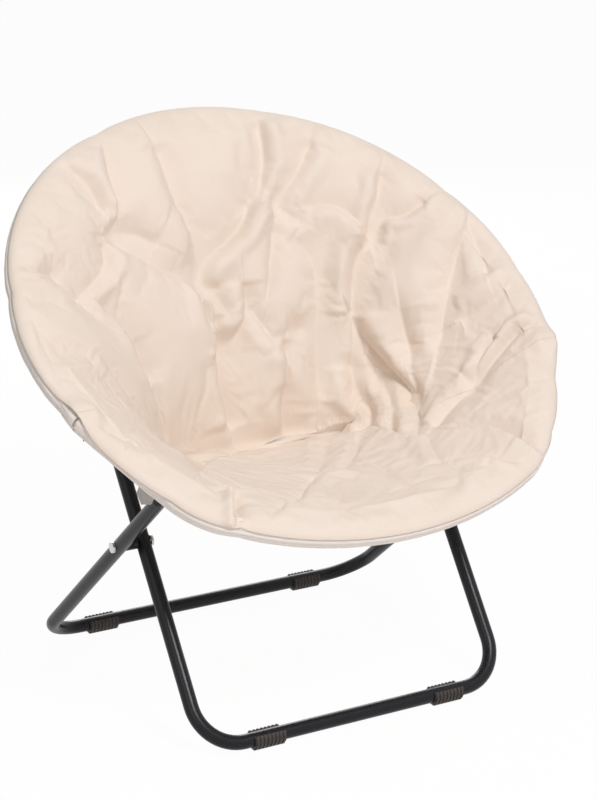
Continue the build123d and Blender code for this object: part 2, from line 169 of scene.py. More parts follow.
def whiteToCamera(tree):
    # 1 for camera, glossy and transmission rays, so that metal shows the white room too
    path = addNode(tree, "ShaderNodeLightPath")
    first = addNode(tree, "ShaderNodeMath", {"operation": "MAXIMUM"}, {
        0: (path, "Is Camera Ray"), 1: (path, "Is Glossy Ray"),
    })
    return addNode(tree, "ShaderNodeMath", {"operation": "MAXIMUM"}, {
        0: (first, 0), 1: (path, "Is Transmission Ray"),
    })


def makeWorld():
    world = bpy.data.worlds.new("paleRoom")
    world.use_nodes = True
    tree = world.node_tree
    tree.nodes.clear()
    seen = whiteToCamera(tree)
    lit = addNode(tree, "ShaderNodeBackground", {
        "Color": toLinear(studio["worldColour"]), "Strength": studio["worldStrength"],
    })
    white = addNode(tree, "ShaderNodeBackground", {"Color": (1, 1, 1, 1), "Strength": 1.0})
    mix = addNode(tree, "ShaderNodeMixShader", {}, {
        0: (seen, 0), 1: (lit, 0), 2: (white, 0),
    })
    addNode(tree, "ShaderNodeOutputWorld", {}, {"Surface": (mix, 0)})
    sceneRoot.world = world


def makeFloor():
    half = mm(studio["floorSize"]) / 2
    mesh = bpy.data.meshes.new("studioFloor")
    mesh.from_pydata(
        [(-half, -half, 0), (half, -half, 0), (half, half, 0), (-half, half, 0)], [], [(0, 1, 2, 3)]
    )
    floor = newObject("studioFloor", mesh)
    # matt paper sweep: nearly white, so only a faint contact shadow shows
    material, tree, out = newMaterial("paperSweep")
    seen = whiteToCamera(tree)
    glow = addNode(tree, "ShaderNodeMath", {"operation": "MULTIPLY", 1: studio["floorGlow"]}, {
        0: (seen, 0),
    })
    matt = addNode(tree, "ShaderNodeBsdfDiffuse", {"Color": toLinear(studio["floorColour"])})
    white = addNode(tree, "ShaderNodeEmission", {"Color": (1, 1, 1, 1), "Strength": 1.0})
    mix = addNode(tree, "ShaderNodeMixShader", {}, {0: (glow, 0), 1: (matt, 0), 2: (white, 0)})
    tree.links.new(mix.outputs[0], out.inputs["Surface"])
    mesh.materials.append(material)


def makeLamps():
    for name, place, target, size, watts in studio["lamps"]:
        data = bpy.data.lights.new(name, "AREA")
        data.shape = "DISK"
        data.size = mm(size)
        data.energy = watts
        lamp = newObject(name, data)
        way = Vector(target) - Vector(place)
        lamp.location = [mm(v) for v in place]
        lamp.rotation_euler = way.to_track_quat("-Z", "Y").to_euler()


sceneRoot.view_settings.view_transform = "Standard"
makeWorld()
makeFloor()
makeLamps()
print("studio set")

# The ring's plane, as in the frame: x to the sitter's left, s up the slope to the back,
# n square to it
ring = {
    "tilt": 36.0,
    "centreY": -3.9,
    "centreZ": 528.0,
    "radius": 375.0,
    "hingeS": -125.0,
    "cornerX": 257.0,
    "cornerS": -299.0,
    "noseS": -413.0,
    "cornerBend": 130.0,
    "noseBend": 510.0,
    "sleeveRadius": 12.8,
    "rearPoints": 400,
    "cornerPoints": 40,
    "nosePoints": 80,
}
tiltCos = math.cos(math.radians(ring["tilt"]))
tiltSin = math.sin(math.radians(ring["tilt"]))
ringUp = np.array((0.0, -tiltSin, tiltCos))


def fromRing(x, s, n):
    # ring coordinates to the frame, in millimetres; arrays or numbers
    y = ring["centreY"] + s * tiltCos - n * tiltSin
    z = ring["centreZ"] + s * tiltSin + n * tiltCos
    return np.stack([np.asarray(x) + 0 * y, y, z], -1)


def gridToFrame(grid):
    # a grid of ring coordinates as one list of points in the frame
    return fromRing(grid[..., 0], grid[..., 1], grid[..., 2]).reshape(-1, 3)


def toRing(points):
    # back from the frame to x, s and n
    y = points[..., 1] - ring["centreY"]
    z = points[..., 2] - ring["centreZ"]
    return points[..., 0], y * tiltCos + z * tiltSin, -y * tiltSin + z * tiltCos


def filletArc(before, corner, after, radius, count):
    # the round that replaces a corner, as points
    a = np.array(before) - corner
    b = np.array(after) - corner
    a /= np.linalg.norm(a)
    b /= np.linalg.norm(b)
    half = math.acos(float(np.clip(a @ b, -1, 1))) / 2
    reach = radius / math.tan(half)
    middle = np.array(corner) + (a + b) / np.linalg.norm(a + b) * radius / math.sin(half)
    start = np.array(corner) + a * reach - middle
    stop = np.array(corner) + b * reach - middle
    angle0 = math.atan2(start[1], start[0])
    turn = (math.atan2(stop[1], stop[0]) - angle0 + math.pi) % (2 * math.pi) - math.pi
    angles = angle0 + turn * np.linspace(0, 1, count)
    return middle + radius * np.stack([np.cos(angles), np.sin(angles)], -1)


def ringOutline():
    # the tube's centre line in the ring's plane, from the left hinge round the back and the front
    hingeAngle = math.asin(ring["hingeS"] / ring["radius"])
    angles = np.linspace(hingeAngle, math.pi - hingeAngle, ring["rearPoints"])
    rear = ring["radius"] * np.stack([np.cos(angles), np.sin(angles)], -1)
    rightHinge, leftHinge = rear[-1], rear[0]
    rightCorner = np.array((-ring["cornerX"], ring["cornerS"]))
    leftCorner = np.array((ring["cornerX"], ring["cornerS"]))
    nose = np.array((0.0, ring["noseS"]))
    front = [
        filletArc(rightHinge, rightCorner, nose, ring["cornerBend"], ring["cornerPoints"]),
        filletArc(rightCorner, nose, leftCorner, ring["noseBend"], ring["nosePoints"]),
        filletArc(nose, leftCorner, rightHinge * (-1, 1), ring["cornerBend"], ring["cornerPoints"]),
    ]
    return np.concatenate([rear] + front + [leftHinge[None]])


# Notches of the outline, where the cover is sewn down to the ring, in pixels of the photo
scallops = {
    "notches": [
        (100, 143), (258, 116), (437, 200), (516, 273), (549, 382), (550, 462), (237, 541),
        (57, 412), (5, 298),
    ],
    "notchWidth": 14.0,
    "notchDepth": 1.0,
    "puff": 4.2,
    "puffReach": 60.0,
}


def onRingPlane(px, py):
    # a pixel of the photo as a place (x, s) on the ring's plane
    place, way = pixelRay(px, py)
    origin = np.array((0, ring["centreY"], ring["centreZ"]))
    t = ((origin - place) @ ringUp) / (way @ ringUp)
    return toRing(place + way * t)[:2]


def scallop(points):
    # how far the hem stands out at points (x, s) of the ring: puffed between notches,
    # pinched at them
    notches = np.array([onRingPlane(*pixel) for pixel in scallops["notches"]])
    turn = np.arctan2(points[:, 1], points[:, 0])
    at = np.arctan2(notches[:, 1], notches[:, 0])
    apart = np.abs((turn[:, None] - at + math.pi) % (2 * math.pi) - math.pi).min(1)
    size = apart * ring["radius"]
    pinch = np.exp(-(size / scallops["notchWidth"]) ** 2)
    swell = 1 - np.exp(-size / scallops["puffReach"])
    return scallops["puff"] * swell - scallops["notchDepth"] * pinch


# The low swell of the cover over the ring's two hinges
hingeCover = {
    "height": 10.0,
    "reach": 28.0,
    "gap": 2.5,  # between the steel and the cover
    "flat": 5.0,  # how far round the steel the cover keeps that gap, and then its slope
    "slope": 11.0,
    "room": 60.0,  # how far from a hinge anything moves
}


def hingeRise(points):
    # how far the hem and the rim stand up there
    away = (points[:, 1] - ring["hingeS"]) / hingeCover["reach"]
    return hingeCover["height"] * np.exp(-away ** 2)


# Cushion: the bowl as a height over the ring's plane, in rows round a pole near the crease
cushion = {
    "poleS": -50.0,
    "around": 900,
    "rows": 190,
    "rimShare": 0.09,  # share of the rows that the rim takes
    "wallStart": 0.04,  # share of the wall at which the rim meets it
    "floorRings": (0.66, 0.33),  # rows inside the crease, as shares of its size
    "edgeIn": 22.0,  # from the tube's line in to the wall's edge, for the top and the underside
    "underEdgeIn": 18.0,
    "lip": 16.0,  # the wall's edge, over the ring's plane
    "depth": 250.0,  # the crease, under the ring's plane
    "crown": 24.0,  # how far the wall bulges up half way down
    "creaseX": 18.0,
    "creaseHalfWidth": 142.0,
    "creaseHalfDepth": 11.0,
    "creaseS": -42.0,
    "thickness": 27.0,
    "rimTurn": 40.0,  # degrees round the hem, from its outer side, where top and underside start
    "underTurn": 200.0,
    "rimPull": (6.0, 21.0, 15.0, 6.0),  # how the rim's curve leaves the hem and meets the wall
    "underPull": (-14.0, -8.0, 4.0, 8.0),
    "sleeveGap": 0.4,
    "cornerSmooth": 2.5,  # degrees
    "blurSteps": 60,
    "lumps": ((2.0, 85.0, 1), (0.8, 30.0, 2)),  # height, size and seed
    "lumpShift": (17.3, 5.1, 9.7),  # a seed times this picks its part of the noise
    "quietRows": (0.02, 0.05),  # where the relief starts and how soon it is full, in shares of rows
    "dentLimit": 19.0,
    "underFollows": 0.3,  # share of the top's relief that the underside has too
    "hemGap": 0.8,
    "mostStretch": 3,  # a point that would move out more than this many times stays put
    "cutMerge": 1e-7,  # metres
}


def outlineRadius(points, angles):
    # distance from the pole to a closed outline at each angle
    x, s = points[:, 0], points[:, 1] - cushion["poleS"]
    found = np.arctan2(s, x)
    order = np.argsort(found)
    found, size = found[order], np.hypot(x, s)[order]
    found = np.concatenate([found - 2 * math.pi, found, found + 2 * math.pi])
    return np.interp(angles, found, np.concatenate([size] * 3))


def smoothAround(values, sigma):
    # a round blur of values given at equal angles, sigma in degrees
    count = len(values)
    steps = np.arange(-cushion["blurSteps"], cushion["blurSteps"] + 1)
    weights = np.exp(-0.5 * (steps * 360 / count / sigma) ** 2)
    weights /= weights.sum()
    return sum(weight * np.roll(values, int(step)) for step, weight in zip(steps, weights))


def creaseOutline(angles):
    # the floor of the bowl: a long narrow lens, so that seat and back meet in a crease
    x = cushion["creaseX"] + cushion["creaseHalfWidth"] * np.cos(angles)
    return np.stack([x, cushion["creaseS"] + cushion["creaseHalfDepth"] * np.sin(angles)], -1)


def topHeight(share):
    # height of the bowl's wall over the ring's plane, at a share of the bowl's depth
    return (
        cushion["lip"] - (cushion["lip"] + cushion["depth"]) * share
        + cushion["crown"] * np.sin(math.pi * np.clip(share, 0, 1))
    )


def wallOutline(angles, share, edgeIn):
    # the bowl's wall at that share, between the ring and the floor
    tube = smoothAround(outlineRadius(ringOutline(), angles), cushion["cornerSmooth"]) - edgeIn
    edge = tube[:, None] * np.stack([np.cos(angles), np.sin(angles)], -1)
    edge[:, 1] += cushion["poleS"]
    return edge * (1 - share) + creaseOutline(angles) * share


def cushionSide(count, rowCount, edgeIn, drop, rimTurn, rimPull):
    # rows from the hem over the rim down to the crease, as (rows, around, 3) in ring coordinates
    angles = np.arange(count) * 2 * math.pi / count
    way = np.stack([np.cos(angles), np.sin(angles)], -1)
    tube = outlineRadius(ringOutline(), angles)
    tubeLine = tube[:, None] * way + (0, cushion["poleS"])
    out = scallop(tubeLine)[:, None]
    rise = hingeRise(tubeLine)
    wrap = ring["sleeveRadius"] + cushion["sleeveGap"]
    startOut = wrap * math.cos(math.radians(rimTurn))
    startN = wrap * math.sin(math.radians(rimTurn))
    join = cushion["wallStart"]
    end = wallOutline(angles, join, edgeIn)
    endN = float(topHeight(join)) - drop
    layers = []
    for t in np.linspace(0, 1, 1 + round(rowCount * cushion["rimShare"]))[:-1]:
        # the shares of a Bezier curve's four points, from the hem to the wall
        one, two, three, four = (1 - t) ** 3, 3 * t * (1 - t) ** 2, 3 * t * t * (1 - t), t ** 3
        place = (
            one * (tubeLine + way * (startOut + out)) + two * (tubeLine + way * (rimPull[0] + out))
            + three * (end + way * rimPull[2]) + four * end
        )
        n = one * startN + two * rimPull[1] + three * (endN + rimPull[3]) + four * endN
        # only the top's rim stands up over the hinges
        up = rise * (one + two) if startN > 0 else 0 * rise
        layers.append(np.c_[place, n + up])
    inner = rowCount - len(layers) - len(cushion["floorRings"])
    for t in np.linspace(0, 1, inner):
        share = join + (1 - join) * t
        layers.append(np.c_[
            wallOutline(angles, share, edgeIn), np.full(count, float(topHeight(share)) - drop)
        ])
    floor = creaseOutline(angles)
    middle = np.array((cushion["creaseX"], cushion["creaseS"]))
    for shrink in cushion["floorRings"]:
        layers.append(np.c_[
            middle + (floor - middle) * shrink, np.full(count, -cushion["depth"] - drop)
        ])
    return np.array(layers)


def gridFaces(rowCount, count):
    # quads between the rows of a closed grid
    row = np.arange(rowCount - 1)[:, None] * count
    column = np.arange(count)[None, :]
    following = (column + 1) % count
    return np.stack([
        row + column, row + following, row + count + following, row + count + column,
    ], -1).reshape(-1, 4)


def meshFrom(name, points, faces):
    mesh = bpy.data.meshes.new(name)
    corners = mm(np.asarray(points)).tolist()
    mesh.from_pydata(corners, [], [list(map(int, face)) for face in faces])
    mesh.validate()
    mesh.update()
    return mesh


def writeMesh(work, mesh, smoothFace):
    # faces turned outward and smoothed, written to the mesh
    bmesh.ops.recalc_face_normals(work, faces=work.faces)
    for face in work.faces:
        face.smooth = smoothFace(face)
    work.to_mesh(mesh)
    work.free()


def vertexNormals(points, quads):
    # smooth normals of a quad grid, straight from its corners
    a, b, c, d = (points[quads[:, i]] for i in range(4))
    face = np.cross(c - a, d - b)
    normals = np.zeros_like(points)
    for i in range(4):
        np.add.at(normals, quads[:, i], face)
    size = np.linalg.norm(normals, axis=1, keepdims=True)
    return normals / np.maximum(size, 1e-9)


# Folds and tacks, each chosen on the photo in its pixels and laid on the bowl.
# A fold is (points, depth, width, bump beside it, which side the bump is on: 1 left of its way)
folds = {
    "steep": 0.55,  # width of a fold's plump side and of its other side, as shares of its width
    "gentle": 1.9,
    "valleyPower": 1.1,
    "swellAt": 2.2,
    "swellWidth": 1.8,
    "endFade": (5.0, 0.35),  # how fast a fold deepens from its ends, and its depth there
    "creaseFade": (9.0, 0.3),
    "lineStep": 6.0,
    "reach": (4, 10),  # how far a fold reaches: so many widths and so many millimetres more
    "creaseReach": 4,
    "bareRows": 70,
    "bareAround": 240,
    "tackDepth": 13.0,
    "tackReach": 17.0,
    "tacks": [
        (114, 234), (276, 202), (373, 239), (469, 379), (203, 284), (222, 350), (61, 275),
        (84, 299), (300, 330), (352, 366), (410, 392),
    ],
    "lines": [
        ([(64, 165), (80, 172), (95, 190), (103, 210)], 7, 8, 3, -1),
        ([(103, 147), (110, 180), (119, 208), (116, 232)], 5, 8, 3, 1),
        ([(116, 232), (137, 230), (158, 242)], 6, 13, 4, -1),
        ([(107, 243), (111, 262), (100, 281), (84, 298)], 8, 7, 4, -1),
        ([(26, 269), (44, 271), (62, 272)], 6, 4, 2, 1),
        ([(30, 279), (48, 278), (61, 278)], 4, 4, 1, 1),
        ([(61, 278), (70, 288), (84, 299)], 5, 6, 3, 1),
        ([(96, 300), (118, 318), (132, 340), (147, 388)], 5, 12, 4, 1),
        ([(154, 148), (163, 165), (173, 196), (190, 226), (201, 262)], 5, 13, 4, 1),
        ([(116, 240), (140, 256), (166, 272), (202, 285)], 6, 11, 4, 1),
        ([(251, 200), (249, 217), (238, 235), (216, 255), (207, 264), (203, 283)], 12, 8, 7, -1),
        ([(259, 120), (264, 140), (266, 165), (262, 192), (252, 202)], 10, 8, 5, -1),
        ([(276, 202), (290, 186), (302, 168), (312, 140)], 6, 9, 4, 1),
        ([(276, 202), (290, 214), (302, 222)], 5, 8, 3, 1),
        ([(275, 204), (271, 240), (266, 300)], 6, 11, 4, 1),
        ([(204, 287), (218, 294), (228, 314)], 9, 7, 4, 1),
        ([(206, 290), (214, 302), (221, 340), (222, 350)], 7, 5, 3, 1),
        ([(200, 288), (207, 318), (222, 350)], 6, 8, 4, 1),
        ([(222, 350), (222, 380), (228, 402), (232, 430), (235, 450)], 12, 8, 5, 1),
        ([(244, 283), (248, 305), (240, 336), (224, 350)], 7, 10, 4, 1),
        ([(250, 308), (262, 326), (275, 346)], 5, 9, 3, 1),
        ([(285, 340), (286, 378), (282, 408), (289, 436)], 8, 9, 5, 1),
        ([(296, 240), (314, 262), (318, 300), (315, 345), (318, 405)], 7, 22, 5, 1),
        ([(310, 206), (326, 203), (343, 208), (358, 222), (373, 239)], 6, 8, 4, 1),
        ([(370, 238), (356, 257), (352, 290), (352, 317)], 13, 9, 8, 1),
        ([(352, 317), (364, 346), (385, 366), (400, 380), (412, 402)], 12, 9, 6, -1),
        ([(352, 366), (354, 396), (360, 428)], 13, 9, 6, 1),
        ([(366, 352), (378, 392), (388, 430)], 8, 8, 4, 1),
        ([(400, 310), (405, 345), (410, 392), (413, 434)], 8, 12, 5, 1),
        ([(380, 170), (377, 198), (369, 218), (372, 238)], 8, 7, 4, 1),
        ([(373, 239), (384, 214), (404, 217), (426, 200)], 8, 6, 4, 1),
        ([(462, 232), (452, 262), (441, 310), (436, 345)], 9, 16, 6, 1),
        ([(468, 222), (480, 252), (487, 275)], 5, 9, 3, 1),
        ([(515, 277), (490, 300), (458, 318)], 6, 11, 4, 1),
        ([(534, 324), (515, 328), (500, 345), (485, 362), (469, 379)], 9, 6, 5, 1),
        ([(494, 334), (479, 354), (469, 378)], 6, 6, 3, 1),
        ([(469, 379), (446, 402), (431, 422)], 9, 9, 4, 1),
        ([(57, 408), (90, 420), (128, 440)], 5, 10, 4, 1),
        ([(34, 322), (44, 352), (56, 384)], 4, 9, 3, 1),
        # on the seat
        ([(326, 436), (322, 456), (318, 472)], 4, 8, 3, 1),
        ([(356, 440), (352, 456), (336, 470), (362, 472)], 4, 7, 3, 1),
        ([(300, 497), (305, 486), (314, 477)], 4, 7, 2, 1),
        ([(300, 497), (325, 498), (342, 500)], 3, 5, 2, 1),
        ([(222, 489), (236, 490), (250, 489)], 4, 4, 2, 1),
        ([(424, 438), (434, 455), (444, 462)], 4, 7, 3, 1),
        ([(446, 459), (470, 457), (500, 458), (516, 464)], 3, 5, 2, 1),
        ([(281, 508), (288, 501), (312, 499)], 2, 6, 1, 1),
        ([(372, 464), (398, 480), (410, 486)], 2, 8, 1, 1),
    ],
    "dart": (
        [(234, 496), (236, 503), (237, 511), (238, 519), (239, 526), (239, 531)], 13, 4.5, 4, 1,
    ),
    "crease": (
        [
            (200, 471), (221, 458), (235, 450), (260, 445), (277, 439), (311, 434), (359, 435),
            (374, 431), (388, 434), (408, 440), (422, 436), (471, 430), (493, 426), (512, 435),
            (529, 445), (543, 453),
        ],
        {"seatLip": 5.0, "seatReach": 30.0, "backDip": 15.0, "backReach": 15.0, "step": 2.2},
    ),
}


def onBowl(tree, pixels):
    # pixels of the photo to points on the bowl, in millimetres; a ray that misses is left out
    found = []
    for px, py in pixels:
        place, way = pixelRay(px, py)
        hit = tree.ray_cast(Vector(mm(place)), Vector(way))[0]
        if hit is not None:
            found.append(toMm(np.array(hit)))
    return np.array(found)


def denser(points, step):
    # a line with points about one step apart
    out = [points[0]]
    for a, b in zip(points[:-1], points[1:]):
        count = max(1, int(np.linalg.norm(b - a) / step))
        out += [a + (b - a) * (i + 1) / count for i in range(count)]
    return np.array(out)


def smoothLine(points, rounds=2):
    # cuts the corners of a traced line
    for _ in range(rounds):
        cut = [points[0]]
        for a, b in zip(points[:-1], points[1:]):
            cut += [a * 0.75 + b * 0.25, a * 0.25 + b * 0.75]
        points = np.array(cut + [points[-1]])
    return points


def alongLine(points, normals, line, reach):
    # the points near a line, with their signed distance to it and their share of its length
    line = denser(smoothLine(line), folds["lineStep"])
    near = np.linalg.norm(points - line.mean(0), axis=1)
    chosen = np.nonzero(near < reach + np.linalg.norm(line - line.mean(0), axis=1).max())[0]
    p = points[chosen]
    best = np.full(len(p), np.inf)
    signed = np.zeros(len(p))
    share = np.zeros(len(p))
    for i, (a, b) in enumerate(zip(line[:-1], line[1:])):
        way = b - a
        t = np.clip(((p - a) @ way) / (way @ way), 0, 1)
        off = p - (a + t[:, None] * way)
        size = np.linalg.norm(off, axis=1)
        closer = size < best
        best[closer] = size[closer]
        left = np.cross(way, normals[chosen[closer]])
        signed[closer] = np.sign((off[closer] * left).sum(1)) * size[closer]
        share[closer] = (i + t[closer]) / (len(line) - 1)
    return chosen, signed, share


def endFade(share, fade):
    # 0 to 1, from the ends of a line to its middle
    return np.clip(np.minimum(share, 1 - share) * fade[0] + fade[1], 0, 1)


def foldHeight(points, normals, line, depth, width, bump, side):
    # how far each point moves along its normal for one fold
    height = np.zeros(len(points))
    widths, more = folds["reach"]
    chosen, signed, share = alongLine(points, normals, line, widths * width + more)
    # a fold is steep on its plump side and runs out gently on the other
    far = np.abs(signed)
    plump = signed * side > 0
    reach = np.where(plump, folds["steep"] * width, folds["gentle"] * width)
    valley = -depth * np.exp(-(far / reach) ** folds["valleyPower"])
    offSwell = (far - folds["swellAt"] * width) / (folds["swellWidth"] * width)
    swell = np.where(plump, bump * np.exp(-offSwell ** 2), 0)
    height[chosen] = (valley + swell) * endFade(share, folds["endFade"])
    return height


def creaseHeight(points, normals, line, shape):
    # the seat's plump rear edge, with the back panels tucked in behind it
    height = np.zeros(len(points))
    chosen, signed, share = alongLine(
        points, normals, line, folds["creaseReach"] * shape["seatReach"]
    )
    seatSide = 0.5 + 0.5 * np.tanh(signed / shape["step"])
    far = np.abs(signed)
    lip = shape["seatLip"] * np.exp(-far / shape["seatReach"])
    dip = shape["backDip"] * np.exp(-far / shape["backReach"])
    height[chosen] = (lip * seatSide - dip * (1 - seatSide)) * endFade(share, folds["creaseFade"])
    return height


def fieldNoise(points, size, seed):
    # smooth noise, about -1 to 1, with lumps of that size in millimetres
    shift = Vector([seed * step for step in cushion["lumpShift"]])
    return np.array([noise.noise(Vector(p) / size + shift) for p in points])


def topSide(count, rowCount):
    # the bare top of the bowl, before any relief
    return gridToFrame(cushionSide(
        count, rowCount, cushion["edgeIn"], 0, cushion["rimTurn"], cushion["rimPull"]
    ))


def foldsOnBowl():
    # every fold and tack of the photo, laid on the bare bowl
    count, rowCount = folds["bareAround"], folds["bareRows"]
    points = topSide(count, rowCount)
    tree = BVHTree.FromPolygons(mm(points).tolist(), gridFaces(rowCount, count).tolist())
    found = []
    for line, *shape in folds["lines"] + [folds["dart"], folds["crease"]]:
        found.append((onBowl(tree, line), *shape))
    return [fold for fold in found if len(fold[0]) > 1], onBowl(tree, folds["tacks"])


def relief(points, normals, lines, tacks, share):
    # the quilted relief of the cushion's top, in millimetres along the normal
    height = np.zeros(len(points))
    for path, *shape in lines:
        if len(shape) == 1:
            height += share * creaseHeight(points, normals, path, *shape)
        else:
            height += share * foldHeight(points, normals, path, *shape)
    for place in tacks:
        far = np.linalg.norm(points - place, axis=1)
        height -= share * folds["tackDepth"] * np.exp(-far / folds["tackReach"])
    return height


def facing(points, faces, middle):
    # the faces turned so that they look up out of the bowl, and the normals of its corners
    normals = vertexNormals(points, faces)
    if normals[middle] @ ringUp < 0:
        return faces[:, ::-1], -normals
    return faces, normals


def topSheet(count, rowCount):
    # the bare top with its faces and normals
    points = topSide(count, rowCount)
    middle = (rowCount // 2) * count + count // 4
    faces, normals = facing(points, gridFaces(rowCount, count), middle)
    return points, faces, normals


# Cloth: the cover is filled, held at its hem, its crease, its tacks and its folds
cloth = {
    "around": 330,
    "rows": 86,
    "frames": 20,
    "pressure": 2.2,
    "growth": 0.022,  # how much longer the cloth is than the bowl, as a share
    "seatHold": 0.12,  # how firmly the seat is held
    "rimHold": 0.045,  # share of the rows, from the hem, that is held fully
    "floorHold": 5,  # rows at the crease that are held fully
    "dipHold": (4.0, 0.9),  # the dip that is held fully, and how firmly
    "leastHold": 0.05,
    "hold": 0.55,  # share of each fold that is there before the filling
    "crisp": 1.1,  # share of each fold that is pressed in again after the filling
    "cap": 22.0,  # the farthest that the cloth may move
    "smooth": 1,
    "settings": {
        "quality": 4,
        "mass": 0.25,
        "tension_stiffness": 18,
        "compression_stiffness": 18,
        "shear_stiffness": 6,
        "bending_stiffness": 0.25,
        "use_pressure": True,
        "pin_stiffness": 1.0,
    },
}


def puffedSheet(lines, tacks):
    # how far the filled cover moves from the bare bowl, as a (rows, around, 3) grid
    count, rowCount = cloth["around"], cloth["rows"]
    points, faces, normals = topSheet(count, rowCount)
    dip = relief(points, normals, lines, tacks, cloth["hold"])
    start = points + normals * dip[:, None]
    sheet = newObject("clothSheet", meshFrom("clothSheet", start, faces))
    pins = sheet.vertex_groups.new(name="held")
    row = np.repeat(np.arange(rowCount), count)
    fullDip, firmness = cloth["dipHold"]
    held = np.clip(-dip / fullDip, 0, 1) ** 2 * firmness
    onSeat = toRing(points)[1] < cushion["creaseS"]
    held[onSeat] = np.maximum(held[onSeat], cloth["seatHold"])
    held[(row < rowCount * cloth["rimHold"]) | (row >= rowCount - cloth["floorHold"])] = 1
    for index in np.nonzero(held > cloth["leastHold"])[0]:
        pins.add([int(index)], float(held[index]), "REPLACE")
    modifier = sheet.modifiers.new("cloth", "CLOTH")
    settings = modifier.settings
    for key, value in cloth["settings"].items():
        setattr(settings, key, value)
    settings.shrink_min = -cloth["growth"]
    settings.uniform_pressure_force = cloth["pressure"]
    settings.vertex_group_mass = "held"
    settings.effector_weights.gravity = 0
    modifier.collision_settings.use_collision = False
    modifier.point_cache.frame_end = cloth["frames"] + 2
    for frameNumber in range(1, cloth["frames"] + 1):
        sceneRoot.frame_set(frameNumber)
    shaped = sheet.evaluated_get(bpy.context.evaluated_depsgraph_get())
    moved = np.empty(len(points) * 3)
    shaped.data.vertices.foreach_get("co", moved)
    moved = toMm(moved.reshape(-1, 3)) - points
    bpy.data.objects.remove(sheet)
    sceneRoot.frame_set(1)
    size = np.linalg.norm(moved, axis=1, keepdims=True)
    moved *= np.minimum(1, cloth["cap"] / np.maximum(size, 1e-6))
    return moved.reshape(rowCount, count, 3)


def resampled(grid, rowCount, count):
    # a grid of vectors at a finer spacing, linear down the rows and round the bowl
    rowAt = np.linspace(0, grid.shape[0] - 1, rowCount)
    columnAt = np.arange(count) * grid.shape[1] / count
    row = np.minimum(rowAt.astype(int), grid.shape[0] - 2)
    rowPart = (rowAt - row)[:, None, None]
    down = grid[row] * (1 - rowPart) + grid[row + 1] * rowPart
    column = columnAt.astype(int)
    columnPart = (columnAt - column)[None, :, None]
    following = (column + 1) % grid.shape[1]
    return down[:, column] * (1 - columnPart) + down[:, following] * columnPart


def blurred(grid, rounds):
    # a light blur over neighbours, round the bowl and down its rows
    for _ in range(rounds):
        side = (np.roll(grid, 1, 1) + np.roll(grid, -1, 1) + 2 * grid) / 4
        grid = side.copy()
        grid[1:-1] = (side[:-2] + 2 * side[1:-1] + side[2:]) / 4
    return grid


# Underside: the outside of the bowl, sewn from gores
underside = {
    "gores": 8,
    "seamTurn": 0.2,
    "seamDepth": 2.2,
    "seamWidth": 2.6,
    "slack": 4.0,
    "slackReach": 22.0,
}


def underRelief(grid):
    # how far the gores are drawn in along their seams, towards the inside of the bowl
    angles = np.arange(grid.shape[1]) * 2 * math.pi / grid.shape[1] + underside["seamTurn"]
    gore = 2 * math.pi / underside["gores"]
    apart = np.abs((angles + gore / 2) % gore - gore / 2)
    middle = np.array((cushion["creaseX"], cushion["creaseS"]))
    size = np.linalg.norm(grid[..., :2] - middle, axis=-1)
    far = apart[None, :] * size
    seam = underside["seamDepth"] * np.exp(-(far / underside["seamWidth"]) ** 2)
    slack = underside["slack"] * np.exp(-far / underside["slackReach"])
    return (seam + slack).reshape(-1)


# Hem: the cover's edge, folded round the ring tube and stitched
hem = {
    "radius": 12.9,
    "step": 4.0,
    "around": 60,
    "seamAngles": (34.0, 2.0),  # degrees round the hem, from its outer side
    "seamWidth": 6.0,  # degrees
    "seamDepth": 1.1,
    "wobble": 0.5,
    "wobbleLength": 22.0,
    "wobbleShift": 3.0,
    "gap": 0.15,
}


def clearOfHem(points):
    # the cover's top, lifted off the hem where a fold would sink into it
    x, s, n = toRing(points)
    s = s - cushion["poleS"]
    angles = np.arctan2(s, x)
    way = np.stack([np.cos(angles), np.sin(angles)], -1)
    tube = outlineRadius(ringOutline(), angles)
    line = tube[:, None] * way + (0, cushion["poleS"])
    far = np.hypot(x, s) - tube
    turn = np.arctan2(n, far)
    upperSide = np.clip(np.sin(2 * turn), 0, 1) * (np.abs(turn) < math.pi / 2)
    need = hem["radius"] + cushion["hemGap"] + scallop(line) * np.clip(np.cos(turn), 0, 1)
    need += hingeRise(line) * upperSide
    stretch = np.maximum(1, need / np.maximum(np.hypot(far, n), 1e-6))
    # nothing below the ring's plane or close to the tube's own line moves
    stretch[(n < 0) | (stretch > cushion["mostStretch"])] = 1
    place = (tube + far * stretch)[:, None] * way + (0, cushion["poleS"])
    return fromRing(place[:, 0], place[:, 1], n * stretch)


def clearOfHinges(points):
    # lifted over the ring's two hinges, which the cover hides
    x, s, n = toRing(points)
    room, flat = hingeCover["room"], hingeCover["flat"]
    lift = np.zeros(len(points))
    for name, node in nodes.items():
        if not name.startswith("hinge_"):
            continue
        steel = toMm(np.array([node.matrix_world @ v.co for v in node.data.vertices]))
        hx, hs, hn = toRing(steel)
        near = (np.abs(x - hx.mean()) < room) & (np.abs(s - hs.mean()) < room) & (n > -flat)
        far = np.hypot(x[near][:, None] - hx, s[near][:, None] - hs) - flat
        short = hn + hingeCover["gap"] - n[near][:, None]
        rise = short * np.exp(-(np.maximum(far, 0) / hingeCover["slope"]) ** 2)
        lift[near] = np.maximum(lift[near], rise.max(1))
    return points + ringUp * lift[:, None]


print("building the cushion")
rows, around = cushion["rows"], cushion["around"]
foldLines, tackPlaces = foldsOnBowl()
topPoints, _, topNormals = topSheet(around, rows)
underRing = cushionSide(
    around, rows, cushion["underEdgeIn"], cushion["thickness"], cushion["underTurn"],
    cushion["underPull"],
)
underPoints = gridToFrame(underRing)
height = relief(topPoints, topNormals, foldLines, tackPlaces, cloth["crisp"])
